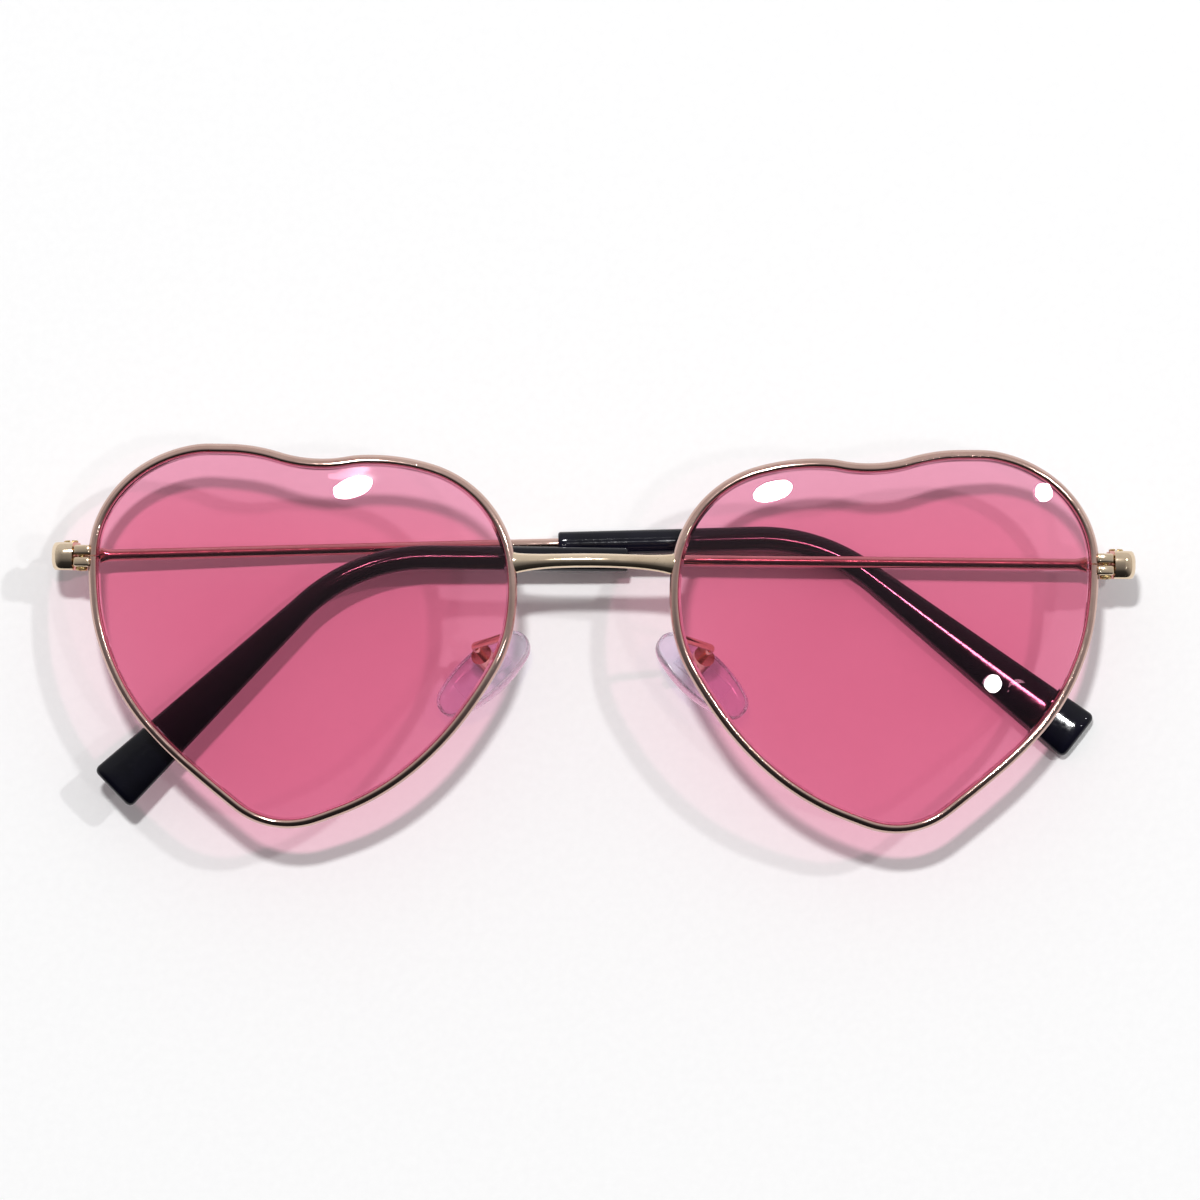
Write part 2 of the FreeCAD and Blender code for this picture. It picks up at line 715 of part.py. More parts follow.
def build():
    """All nodes by name."""
    grown_rim = rim_ring(braze_gap)
    grown_placed = placed(grown_rim, lens_place)
    left_hinge = hinge_place(left_rise_angle)
    left_temple = temple_place(left_rise_angle, left_slope_angle)
    right_hinge = hinge_place(right_rise_angle)
    right_temple = temple_place(right_rise_angle, bow_angle)
    front = {
        "rim": placed(make_rim(), lens_place),
        "lens": placed(make_lens(), lens_place),
        "lock_upper": placed(make_lock(1, grown_rim), lens_place),
        "lock_lower": placed(make_lock(-1, grown_rim), lens_place),
        "lock_screw": placed(make_lock_screw(), lens_place),
        "end_piece": make_end_piece(),
        "pad_arm": make_pad_arm(),
        "pad_box": placed(make_cup(), pad_place),
        "pad_screw": placed(make_pad_screw(), pad_place),
        "pad_insert": placed(make_insert(), pad_place),
        "nose_pad": placed(make_pad(), pad_place),
    }
    hinge = {"hinge_front": make_front_leaf(), "hinge_screw": make_hinge_screw()}
    leaf = make_temple_leaf()
    nodes = {"bridge": make_bridge([grown_placed, mirrored(grown_placed)])}
    for name, shape in front.items():
        nodes["left_" + name] = shape
        nodes["right_" + name] = mirrored(shape)
    for name, shape in hinge.items():
        nodes["left_" + name] = placed(shape, left_hinge)
        nodes["right_" + name] = mirrored(placed(shape, right_hinge))
    for side, place, bend, turn_over in (("left_", left_temple, left_bend_angle, placed_as_is),
                                         ("right_", right_temple, right_bend_angle, mirrored)):
        nodes[side + "hinge_temple"] = turn_over(placed(leaf, place))
        nodes[side + "temple_wire"] = turn_over(placed(make_temple_wire(bend), place))
        nodes[side + "temple_sleeve"] = turn_over(placed(make_sleeve(bend), place))
    return nodes


os.makedirs("parts", exist_ok=True)
for node, solid in build().items():
    solid.exportStep("parts/" + node + ".step")
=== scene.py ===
import bmesh
import bpy
import json
import math
from mathutils import Matrix, Quaternion, Vector

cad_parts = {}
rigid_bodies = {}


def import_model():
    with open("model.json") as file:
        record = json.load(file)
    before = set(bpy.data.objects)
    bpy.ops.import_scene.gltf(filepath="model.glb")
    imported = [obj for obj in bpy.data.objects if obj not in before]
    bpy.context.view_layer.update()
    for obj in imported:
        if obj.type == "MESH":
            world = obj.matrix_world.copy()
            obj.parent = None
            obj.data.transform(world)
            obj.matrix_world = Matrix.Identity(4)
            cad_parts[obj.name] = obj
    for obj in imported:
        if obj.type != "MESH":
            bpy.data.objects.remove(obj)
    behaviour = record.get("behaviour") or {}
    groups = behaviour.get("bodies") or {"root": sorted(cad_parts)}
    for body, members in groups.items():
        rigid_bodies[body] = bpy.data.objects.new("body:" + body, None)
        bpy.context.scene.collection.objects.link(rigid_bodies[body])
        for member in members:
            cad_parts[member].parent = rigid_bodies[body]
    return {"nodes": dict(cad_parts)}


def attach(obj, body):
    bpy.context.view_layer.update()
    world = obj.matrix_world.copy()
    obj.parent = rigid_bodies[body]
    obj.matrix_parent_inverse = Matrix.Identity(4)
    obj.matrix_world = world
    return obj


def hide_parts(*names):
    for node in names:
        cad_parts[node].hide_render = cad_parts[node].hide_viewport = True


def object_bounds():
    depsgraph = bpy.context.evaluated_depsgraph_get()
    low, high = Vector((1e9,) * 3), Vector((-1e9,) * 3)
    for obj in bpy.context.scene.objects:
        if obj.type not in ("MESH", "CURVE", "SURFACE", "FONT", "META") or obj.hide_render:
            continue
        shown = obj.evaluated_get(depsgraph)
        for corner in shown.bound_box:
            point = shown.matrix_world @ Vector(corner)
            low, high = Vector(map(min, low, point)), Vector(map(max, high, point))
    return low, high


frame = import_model()
cad_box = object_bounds()

# Heart shaped sunglasses, folded, lying front side up.
# X runs to the wearer's left, Y towards the brow, Z out of the front. Lengths are in metres.

# Front
rim_width = 0.0568
rim_height = 0.0505
rim_gap = 0.0199
front_height = 0.0138
hinge_rise = 0.0103
wrap_angle = math.radians(4.5)
heart_shares = [
    (0.985, 0.155), (0.935, 0.675), (0.510, 0.994), (0.350, 1.000), (-0.140, 0.928),
    (-0.270, 0.947), (-0.875, 0.695), (-0.988, 0.070), (-0.775, -0.415), (-0.200, -0.925),
    (0.040, -1.000), (0.550, -0.680), (0.870, -0.250),
]
station_spacing = 0.0006

# Rim wire
rim_thickness = 0.0013
rim_depth = 0.0020
rim_shoulder = 0.00045
rim_inner_round = 0.00038
groove_depth = 0.0005
groove_width = 0.0010
rim_round_steps = 12
rim_inner_steps = 6

# Lens
lens_thickness = 0.0015
lens_curve_radius = 0.120
lens_fit = 0.00005
lens_edge_break = 0.00012
lens_ring_shares = [0.985, 0.955, 0.91, 0.85, 0.77, 0.68, 0.58, 0.47, 0.36, 0.25, 0.15, 0.07]

# Rim lock
lock_length = 0.0019
lock_height = 0.0029
lock_depth = 0.0024
lock_split = 0.0002
lock_overlap = 0.0005
lock_round = 0.00038
lock_screw_radius = 0.00045
lock_head_radius = 0.0008
lock_head_height = 0.00045

# End piece
end_piece_length = 0.00316
end_piece_height = 0.0037
end_wall = 0.0012
end_corner_radius = 0.0016
end_crown_depth = 0.0009
end_crown_reach = 0.0016
end_inner_round = 0.0002
end_nose_round = 0.0003
end_front_shares = [0, 0.04, 0.1, 0.25, 0.5, 0.75, 0.9]
end_back_shares = [0.4, 0.8, 1.0]
end_corner_steps = 12
end_round_steps = 8

# Hinge
barrel_radius = 0.00125
barrel_height = 0.0011
barrel_gap = 0.00005
root_clearance = 0.00005
stop_reach = 0.00165
stop_gap = 0.00015
hinge_screw_radius = 0.0006
hinge_head_radius = 0.00095
hinge_head_height = 0.0004
screw_fit = 0.00002

# Screw heads
slot_width_share = 0.28
slot_depth_share = 0.55
slot_round_share = 1 / 6
slot_overrun_share = 2
head_round_share = 0.45
head_dome_share = 0.35
head_flat_share = 0.4
head_steps = 5
shank_tip_share = 0.8
shank_point_share = 0.95
screw_sides = 40

# Temple wire
root_height = 0.0022
root_length = 0.0034
root_taper = 0.0021
wire_radius = 0.00075
wire_length = 0.0645
bow_angle = math.radians(3.0)
bow_radius = 0.100
core_length = 0.004
butt_round = 0.0002
butt_round_share = 1 / 3
root_power = 3.2
wire_power = 2
taper_steps = 8
straight_steps = 12
bow_steps = 8

# Temple sleeve
sleeve_width = 0.0032
sleeve_thickness = 0.0026
sleeve_end_width = 0.0070
sleeve_to_bend = 0.0262
sleeve_after_bend = 0.0348
sleeve_bend_radius = 0.024
sleeve_corner_radius = 0.0009
sleeve_edge_radius = 0.00095
sleeve_start_round = 0.00035
sleeve_start_power = 2.3
sleeve_end_power = 2.8
sleeve_tip_thinning_share = 0.9
sleeve_start_steps = 5
sleeve_tip_steps = 9
sleeve_sides = 56
sleeve_step = 0.0008

# Folded temples
left_slope_angle = math.radians(0.5)
left_rise_angle = math.radians(0.15)
right_rise_angle = math.radians(1.95)
left_bend_angle = math.radians(44.2)
right_bend_angle = math.radians(39.2)

# Nose pads
pad_length = 0.0150
pad_width = 0.0074
pad_thickness = 0.0024
pad_end_radius = 0.0026
pad_face_radius = 0.0013
pad_back_break = 0.0004
pad_crown = 0.00025
pad_splay_angle = math.radians(41.7)
pad_tilt_angle = math.radians(37.0)
pad_shift = 0.0015
pad_inner_shares = [0.86, 0.68, 0.48, 0.28, 0.12]
pad_end_share = 1 / 3
pad_quarter_steps = 18
pad_back_steps = 4
pad_face_steps = 10
cup_across = 0.0148
cup_drop = 0.0022
cup_radius = 0.00145
cup_base = 0.0006
cup_floor = 0.0010
tab_reach = 0.0013
pad_screw_radius = 0.00035
pad_head_radius = 0.0006
pad_head_height = 0.00035
braze_gap = 0.00003

# Pad arm
arm_radius = 0.0005
arm_rise = 0.0002
arm_leg = 0.0015
arm_stub = 0.0024
arm_bend_radius = 0.0010
arm_foot_flare = 0.00022
arm_foot_power = 3
arm_foot_steps = 6

# Bridge
bridge_middle_height = 0.00185
bridge_end_height = 0.0029
bridge_depth = 0.0017
bridge_arch = 0.0005
bridge_bow = 0.0009
bridge_braze_flare = 0.0007
bridge_flare_depth_share = 0.25
bridge_flare_power = 40
bridge_taper_power = 4
bridge_section_power = 2.2
bridge_steps = 64

# Sides of round sections, steps of bends and rounds, and the angle from which an edge is sharp
wire_sides = 28
bend_steps = 10
block_round_steps = 4
sharp_angle = math.radians(38)

# Height of the bumps in the finishes
plating_relief = 0.000005
brass_relief = 0.000006
lens_ripple = 0.000004
sleeve_ripple = 0.000004
pad_ripple = 0.00001
core_ripple = 0.000004

# Photograph's camera: image width in the front's plane, place and turn
photo_width = 0.1579
photo_middle = Vector((0.00088, 0.00511, front_height))
photo_turn_angle = math.radians(0.48)
camera_lens = 400.0
camera_sensor = 36.0
camera_reach = 100.0

# Stage
floor_half = 6.0
floor_drop = 0.0001
lamp_distance = 3.0
lamp_across = 0.12
side_lamp_toward = (0.514, 0.318, 0.797)
side_lamp_power = 16.0
low_lamp_toward = (0.420, -0.094, 0.903)
low_lamp_power = 4.0
brow_lamp_toward = (-0.071, 0.331, 0.941)
brow_lamp_power = 45.0
brow_lamp_across = 0.27
brow_lamp_share = 0.50
brow_roll_angle = math.radians(6)
left_sleeve_lamp_toward = (0.069, 0.115, 0.991)
left_sleeve_lamp_power = 18.0
left_sleeve_lamp_across = 0.03
left_sleeve_lamp_share = 11.0
left_sleeve_roll_angle = 0.0
right_sleeve_lamp_toward = (0.068, 0.038, 0.997)
right_sleeve_lamp_power = 85.0
right_sleeve_lamp_across = 0.07
right_sleeve_lamp_share = 4.0
right_sleeve_roll_angle = math.radians(-39.2)
sky_toward = (0.05, 0.45, -0.20)
sky_middle = 0.5
sky_strength = 1.2

# Derived positions
x_axis = Vector((1, 0, 0))
y_axis = Vector((0, 1, 0))
z_axis = Vector((0, 0, 1))
lens_across = (rim_gap + rim_width) / 2
mean_reach = (rim_width + rim_height) / 4
lens_rise = lens_curve_radius - math.sqrt(lens_curve_radius ** 2 - mean_reach ** 2)
ball_centre = Vector((0, 0, lens_rise - lens_curve_radius))
lens_place = Matrix.Translation((lens_across, 0, front_height)) @ Matrix.Rotation(wrap_angle, 4, "Y")
root_inner = barrel_radius + root_clearance
root_outer = root_inner + end_wall
wire_offset = (root_inner + root_outer) / 2
hinge_stack = barrel_height / 2 + barrel_gap + barrel_height
bow_start = wire_length - bow_radius * math.sin(bow_angle)
bow_shift = bow_radius * (1 - math.cos(bow_angle))
hinge_height = (sleeve_thickness / 2 + (wire_offset - bow_shift) * math.cos(bow_angle)
                + wire_length * math.sin(bow_angle))
mirror = Matrix.Scale(-1, 4, x_axis)


# Forms are pairs of points and faces

def moved(form, place):
    """Form taken to another place. A mirror turns its faces over."""
    points, faces = form
    if place.determinant() < 0:
        faces = [tuple(reversed(face)) for face in faces]
    return [place @ point for point in points], faces


def lofted(rings, closed=False, capped=True):
    """Skin over rings of points, which run anticlockwise seen against the direction of the loft."""
    count = len(rings[0])
    points = [point for ring in rings for point in ring]
    faces = []
    spans = len(rings) if closed else len(rings) - 1
    for span in range(spans):
        here = span * count
        there = (span + 1) % len(rings) * count
        for index in range(count):
            following = (index + 1) % count
            faces.append((here + index, here + following, there + following, there + index))
    if capped and not closed:
        faces.append(tuple(reversed(range(count))))
        faces.append(tuple(range(len(points) - count, len(points))))
    return points, faces


def dished(rings, foot, pole):
    """Skin over rings that close on a point before the first and after the last."""
    count = len(rings[0])
    points, faces = lofted(rings, capped=False)
    last = len(points) - count
    points += [pole, foot]
    for index in range(count):
        faces.append((last + index, last + (index + 1) % count, len(points) - 2))
    for index in range(count):
        faces.append(((index + 1) % count, index, len(points) - 1))
    return points, faces


def turned_form(profile, sides):
    """Form turned about Y from a profile of radius and height that starts and ends on the axis."""
    rings = []
    for radius, height in profile[1:-1]:
        ring = []
        for side in range(sides):
            angle = 2 * math.pi * side / sides
            ring.append(Vector((radius * math.sin(angle), height, radius * math.cos(angle))))
        rings.append(ring)
    return dished(rings, Vector((0, profile[0][1], 0)), Vector((0, profile[-1][1], 0)))


def oval_section(half_width, half_depth, power, sides):
    """Points round an oval that a larger power makes squarer, anticlockwise."""
    ring = []
    for side in range(sides):
        angle = 2 * math.pi * side / sides
        across = math.copysign(abs(math.cos(angle)) ** (2 / power), math.cos(angle))
        up = math.copysign(abs(math.sin(angle)) ** (2 / power), math.sin(angle))
        ring.append((half_width * across, half_depth * up))
    return ring


def rounded_path(corners, bend_radius):
    """Points of a path with each inner corner rounded."""
    path = [corners[0]]
    for before, corner, after in zip(corners, corners[1:], corners[2:]):
        into = (corner - before).normalized()
        out = (after - corner).normalized()
        axis = into.cross(out).normalized()
        turn = into.angle(out)
        start = corner - into * (bend_radius * math.tan(turn / 2))
        centre = start + axis.cross(into) * bend_radius
        for step in range(bend_steps + 1):
            path.append(centre + Matrix.Rotation(turn * step / bend_steps, 3, axis) @ (start - centre))
    return path + [corners[-1]]


def tube(path, radii):
    """Round wire along a path, with a radius at each point."""
    rings = []
    heading = (path[1] - path[0]).normalized()
    side = heading.orthogonal().normalized()
    for index, point in enumerate(path):
        before = path[max(index - 1, 0)]
        after = path[min(index + 1, len(path) - 1)]
        following = (after - before).normalized()
        side = heading.rotation_difference(following) @ side
        heading = following
        other = heading.cross(side)
        ring = []
        for step in range(wire_sides):
            angle = 2 * math.pi * step / wire_sides
            ring.append(point + (side * math.cos(angle) + other * math.sin(angle)) * radii[index])
        rings.append(ring)
    return lofted(rings)


def soft_block(low, high, radius):
    """Block between two corners with rounded edges."""
    mesh = bmesh.new()
    bmesh.ops.create_cube(mesh, size=1)
    middle = (low + high) / 2
    for vert in mesh.verts:
        vert.co = middle + Vector(a * b for a, b in zip(vert.co, high - low))
    bmesh.ops.bevel(mesh, geom=mesh.edges[:], offset=radius, segments=block_round_steps, profile=0.5,
                    affect="EDGES", clamp_overlap=True)
    mesh.verts.index_update()
    points = [vert.co.copy() for vert in mesh.verts]
    faces = [tuple(vert.index for vert in face.verts) for face in mesh.faces]
    mesh.free()
    return points, faces


def mesh_object(name, form):
    """Object with a form as its mesh."""
    points, faces = form
    mesh = bpy.data.meshes.new(name)
    mesh.from_pydata(points, [], faces)
    made = bpy.data.objects.new(name, mesh)
    bpy.context.scene.collection.objects.link(made)
    return made


def add_piece(name, form, place, material, body, nodes):
    """Piece of the scene that stands for CAD nodes."""
    piece = mesh_object(name, moved(form, place))
    mesh = piece.data
    mesh.validate()
    mesh.shade_smooth()
    mesh.set_sharp_from_angle(angle=sharp_angle)
    mesh.materials.append(material)
    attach(piece, body)
    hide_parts(*nodes)
    return piece


# Heart outline on the ball of the lens, as tangent arcs in a flat map

def flat_point(across, up):
    """Point of the flat map for a point of the ball."""
    share = (1 + math.sqrt(1 - (across ** 2 + up ** 2) / lens_curve_radius ** 2)) / 2
    return Vector((across / share, up / share, 0))


def ball_point(flat):
    """Point of the ball for a point of the flat map."""
    share = 1 / (1 + flat.dot(flat) / (2 * lens_curve_radius) ** 2)
    return ball_centre + Vector((flat.x * share, flat.y * share, lens_curve_radius * (2 * share - 1)))


def point_directions(points):
    """Direction of the outline at each of its points, from the circle through its neighbours."""
    directions = []
    for index, here in enumerate(points):
        before = here - points[index - 1]
        after = points[(index + 1) % len(points)] - here
        directions.append((before * (after.length / before.length)
                           + after * (before.length / after.length)).normalized())
    return directions


def signed_angle(first, second):
    """Angle from one flat vector to another, anticlockwise."""
    return math.atan2(first.cross(second).z, first.dot(second))


def heart_arcs():
    """Tangent arcs through the heart's points, two for each stretch: start, direction, turn, chord."""
    points = [flat_point(u * rim_width / 2, v * rim_height / 2) for u, v in heart_shares]
    directions = point_directions(points)
    arcs = []
    for index, start in enumerate(points):
        following = (index + 1) % len(points)
        end = points[following]
        leave = directions[index]
        arrive = directions[following]
        chord = end - start
        along = chord.dot(leave + arrive)
        spread = 2 * (1 - leave.dot(arrive))
        handle = chord.dot(chord) / (along + math.sqrt(along * along + spread * chord.dot(chord)))
        middle = (start + end + (leave - arrive) * handle) / 2
        first = middle - start
        second = end - middle
        second_turn = 2 * signed_angle(second, arrive)
        arcs.append((start, leave, 2 * signed_angle(leave, first), first.length))
        arcs.append((middle, Matrix.Rotation(-second_turn, 3, "Z") @ arrive, second_turn, second.length))
    return arcs


def heart_stations():
    """Points round the heart with the outward and forward directions there."""
    stations = []
    for start, direction, turn, chord in heart_arcs():
        steps = max(2, round(chord / station_spacing))
        for step in range(steps):
            part = step / steps
            reach = chord * math.sin(turn * part / 2) / math.sin(turn / 2)
            flat = start + Matrix.Rotation(turn * part / 2, 3, "Z") @ direction * reach
            tangent = Matrix.Rotation(turn * part, 3, "Z") @ direction
            point = ball_point(flat)
            forward = (point - ball_centre).normalized()
            stride = tangent * station_spacing
            ahead = ball_point(flat + stride) - ball_point(flat - stride)
            stations.append((point, ahead.cross(forward).normalized(), forward))
    return stations


heart = heart_stations()


def crossing(height, side):
    """Station of the outline at a height, on the temple side (1) or nose side (-1), and the one before it."""
    for index, station in enumerate(heart):
        following = heart[(index + 1) % len(heart)]
        low = station[0].y - height
        high = following[0].y - height
        if low * high > 0 or station[0].x * side < 0:
            continue
        part = low / (low - high)
        point, outward, forward = [a.lerp(b, part) for a, b in zip(station, following)]
        return (point, outward.normalized(), forward.normalized()), index


def outline_frame(height, side):
    """Frame on the outline at a height: outward from the face's middle, up, forward."""
    (point, _, forward), _ = crossing(height, side)
    up = (y_axis - forward * forward.y).normalized()
    across = up.cross(forward)
    return Matrix.Translation(point) @ Matrix((across, up, forward)).transposed().to_4x4()


lock_place = outline_frame(hinge_rise, 1)
lock_frame = lens_place @ lock_place
lock_corner = lock_frame @ Vector((lock_length, 0, 0))
end_face = lock_corner.x + end_piece_length
hinge_across = end_face - root_outer


# Front pieces in the frame of one lens

def rim_section():
    """Section of the rim wire, outward and forward: half round outside, rounded and grooved inside."""
    inner = -rim_thickness
    half = rim_depth / 2
    shoulder = inner + rim_shoulder
    groove = groove_width / 2
    ring = []
    for step in range(rim_round_steps + 1):
        angle = math.pi * (step / rim_round_steps - 0.5)
        ring.append((shoulder - shoulder * math.cos(angle), half * math.sin(angle)))
    corner = []
    for step in range(rim_inner_steps + 1):
        angle = step / rim_inner_steps * math.pi / 2
        corner.append((inner + rim_inner_round * (1 - math.sin(angle)),
                       half - rim_inner_round * (1 - math.cos(angle))))
    ring += corner
    ring += [(inner, groove), (inner + groove_depth, 0), (inner, -groove)]
    ring += [(across, -up) for across, up in reversed(corner)]
    return ring


def rim_form():
    """Rim wire all round the lens, open at the lock."""
    upper, start = crossing(hinge_rise + lock_split / 2, 1)
    lower, end = crossing(hinge_rise - lock_split / 2, 1)
    count = len(heart)
    run = [heart[(start + 1 + step) % count] for step in range((end - start) % count or count)]
    stations = [upper] + run + [lower]
    section = rim_section()
    return lofted([[point + outward * r + forward * w for r, w in section]
                   for point, outward, forward in reversed(stations)])


def lens_form():
    """Curved lens with a bevel round its edge that sits in the rim's groove."""
    edge = -rim_thickness - lens_fit
    bevel = groove_width / 2 - lens_fit
    half = lens_thickness / 2
    profile = [(edge - lens_edge_break, -half), (edge, lens_edge_break - half), (edge, -bevel),
               (edge + groove_depth, 0), (edge, bevel), (edge, half - lens_edge_break),
               (edge - lens_edge_break, half)]
    sides = [[point + outward * r + forward * w for point, outward, forward in heart] for r, w in profile]

    def face_rings(rim):
        rings = []
        for share in lens_ring_shares:
            ring = []
            for point in rim:
                spoke = point - ball_centre
                unit = spoke.normalized()
                flat = Vector((unit.x, unit.y)) * (share / (1 + unit.z))
                fall = flat.dot(flat)
                inward = Vector((2 * flat.x, 2 * flat.y, 1 - fall)) / (1 + fall)
                ring.append(ball_centre + inward * spoke.length)
            rings.append(ring)
        return rings

    front = face_rings(sides[-1])
    rear = face_rings(sides[0])
    rings = list(reversed(rear)) + sides + front
    return dished(rings, ball_centre + z_axis * (lens_curve_radius - half),
                  ball_centre + z_axis * (lens_curve_radius + half))


def lock_form(side):
    """One half of the rim lock, upper (1) or lower (-1)."""
    low, high = sorted((side * lock_split / 2, side * lock_height / 2))
    block = soft_block(Vector((-lock_overlap, low, -lock_depth / 2)),
                       Vector((lock_length, high, lock_depth / 2)), lock_round)
    return moved(block, lock_place)


def end_piece_form():
    """End piece from the lock round to the stop face, as one bent bar."""
    front = lock_corner.z + lock_depth / 2
    rear = lock_corner.z - lock_depth / 2
    back = hinge_height + stop_reach
    inside = end_face - end_wall
    depth = front - rear
    near = inside - lock_corner.x
    stations = []
    # along the front, each station has its inner point and the direction and reach to the outside
    for share in end_front_shares:
        offset = near * (1 - share)
        fillet = end_corner_radius - end_wall - offset
        drop = end_corner_radius - math.sqrt(end_corner_radius ** 2 - max(fillet, 0) ** 2)
        tilt_foot = lock_frame @ Vector((lock_length + braze_gap, 0, -lock_depth / 2))
        tilt_head = lock_frame @ Vector((lock_length + braze_gap, 0, lock_depth / 2))
        foot = Vector((inside - offset, 0, rear))
        head = Vector((inside - offset, 0, front - drop))
        lean = (1 - share) ** 2
        foot.x += (tilt_foot.x - lock_corner.x) * lean
        head.x += (tilt_head.x - lock_corner.x) * lean
        stations.append((foot, head))
    # round the corner
    corner = Vector((inside, 0, rear))
    hub = Vector((end_wall - end_corner_radius, 0, depth - end_corner_radius))
    for step in range(end_corner_steps + 1):
        angle = step / end_corner_steps * math.pi / 2
        ray = Vector((math.sin(angle), 0, math.cos(angle)))
        reach = ray.dot(hub) + math.sqrt(ray.dot(hub) ** 2 - hub.dot(hub) + end_corner_radius ** 2)
        if reach * ray.z < hub.z:
            reach = end_wall / ray.x
        stations.append((corner, corner + ray * reach))
    # down to the stop face
    for share in end_back_shares:
        level = rear + (back - rear) * share
        stations.append((Vector((inside, 0, level)), Vector((end_face, 0, level))))
    rings = []
    for index, (inner, outer) in enumerate(stations):
        middle = (inner + outer) / 2
        across = (outer - inner).normalized()
        half = (outer - inner).length / 2
        trim = 0
        if index in (0, len(stations) - 1):
            trim = end_nose_round
        ring = []
        for turn, (out, up) in enumerate(((1, 1), (-1, 1), (-1, -1), (1, -1))):
            deep = min(end_crown_depth, half) if out > 0 else end_inner_round
            tall = end_crown_reach if out > 0 else end_inner_round
            for step in range(end_round_steps + 1):
                angle = (turn + step / end_round_steps) * math.pi / 2
                x = out * (half - deep) + deep * math.cos(angle)
                y = up * (end_piece_height / 2 - tall) + tall * math.sin(angle)
                x -= math.copysign(trim, x)
                y -= math.copysign(trim, y)
                ring.append(middle + across * x + y_axis * (hinge_rise + y))
        rings.append(ring)
    return lofted(rings)


def screw_form(shank_radius, shank_length, head_radius, head_height):
    """Screw along Y with a slotted, rounded head above zero."""
    rise = head_height * head_round_share
    profile = [(0, -shank_length), (shank_radius * shank_tip_share, -shank_length),
               (shank_radius, -shank_length * shank_point_share), (shank_radius, 0), (head_radius, 0),
               (head_radius, head_height - rise)]
    for step in range(1, head_steps):
        angle = step / head_steps * math.pi / 2
        profile.append((head_radius * (1 - head_dome_share * (1 - math.cos(angle))),
                        head_height - rise + rise * math.sin(angle)))
    profile += [(head_radius * head_flat_share, head_height), (0, head_height)]
    screw = mesh_object("screw_blank", turned_form(profile, screw_sides))
    slot = head_radius * slot_width_share / 2
    floor = head_height * (1 - slot_depth_share)
    past = head_radius * slot_overrun_share
    block = soft_block(Vector((-slot, floor, -past)), Vector((slot, head_height * slot_overrun_share, past)),
                       slot * slot_round_share)
    cutter = mesh_object("screw_slot", block)
    cut = screw.modifiers.new("slot", "BOOLEAN")
    cut.operation = "DIFFERENCE"
    cut.solver = "EXACT"
    cut.object = cutter
    bpy.context.view_layer.update()
    graph = bpy.context.evaluated_depsgraph_get()
    mesh = bpy.data.meshes.new_from_object(screw.evaluated_get(graph))
    points = [vert.co.copy() for vert in mesh.vertices]
    faces = [tuple(face.vertices) for face in mesh.polygons]
    bpy.data.objects.remove(screw)
    bpy.data.objects.remove(cutter)
    return points, faces


def bridge_form():
    """Bridge wire, arched and bowed, widening to its brazed ends."""
    end = lens_place @ outline_frame(hinge_rise, -1) @ Vector((lock_overlap, 0, 0))
    rings = []
    for step in range(bridge_steps + 1):
        part = -math.cos(math.pi * step / bridge_steps)
        flare = bridge_braze_flare * abs(part) ** bridge_flare_power
        taper = (bridge_end_height - bridge_middle_height) * part ** bridge_taper_power
        height = bridge_middle_height + taper + flare
        depth = bridge_depth + flare * bridge_flare_depth_share
        middle = Vector((end.x * part, hinge_rise - bridge_arch * part ** 2,
                         end.z + bridge_bow * (1 - part ** 2)))
        rings.append([middle + y_axis * a + z_axis * b
                      for a, b in oval_section(height / 2, depth / 2, bridge_section_power, wire_sides)])
    return lofted(rings)


# Temple pieces in the frame of a folded temple: along, up, away from the front

def temple_wire_form():
    """Temple wire with its flat root, ending inside the sleeve."""
    butt = stop_reach - stop_gap
    taper_end = root_length + root_taper
    rings = []

    def add_ring(middle, ahead, half_height, half_thickness, power):
        across = ahead.cross(y_axis)
        rings.append([middle + y_axis * a + across * b
                      for a, b in oval_section(half_height, half_thickness, power, wire_sides)])

    flat = end_wall / 2
    tall = root_height / 2
    part_round = butt_round * butt_round_share
    for along, trim in ((-butt, butt_round), (-butt + part_round, part_round), (-butt + butt_round, 0),
                        (0, 0), (root_length, 0)):
        add_ring(Vector((along, 0, wire_offset)), x_axis, tall - trim, flat - trim, root_power)
    for step in range(1, taper_steps + 1):
        part = step / taper_steps
        ease = part * part * (3 - 2 * part)
        add_ring(Vector((root_length + root_taper * part, 0, wire_offset)), x_axis,
                 tall + (wire_radius - tall) * ease, flat + (wire_radius - flat) * ease,
                 root_power + (wire_power - root_power) * ease)
    for step in range(1, straight_steps + 1):
        along = taper_end + (bow_start - taper_end) * step / straight_steps
        add_ring(Vector((along, 0, wire_offset)), x_axis, wire_radius, wire_radius, wire_power)
    for step in range(1, bow_steps + 1):
        angle = bow_angle * step / bow_steps
        middle = Vector((bow_start + bow_radius * math.sin(angle), 0,
                         wire_offset - bow_radius * (1 - math.cos(angle))))
        ahead = Vector((math.cos(angle), 0, -math.sin(angle)))
        add_ring(middle, ahead, wire_radius, wire_radius, wire_power)
    add_ring(middle + ahead * core_length, ahead, wire_radius, wire_radius, wire_power)
    return lofted(rings)


sleeve_place = (Matrix.Translation((wire_length, 0, wire_offset - bow_shift))
                @ Matrix.Rotation(bow_angle, 4, "Y"))


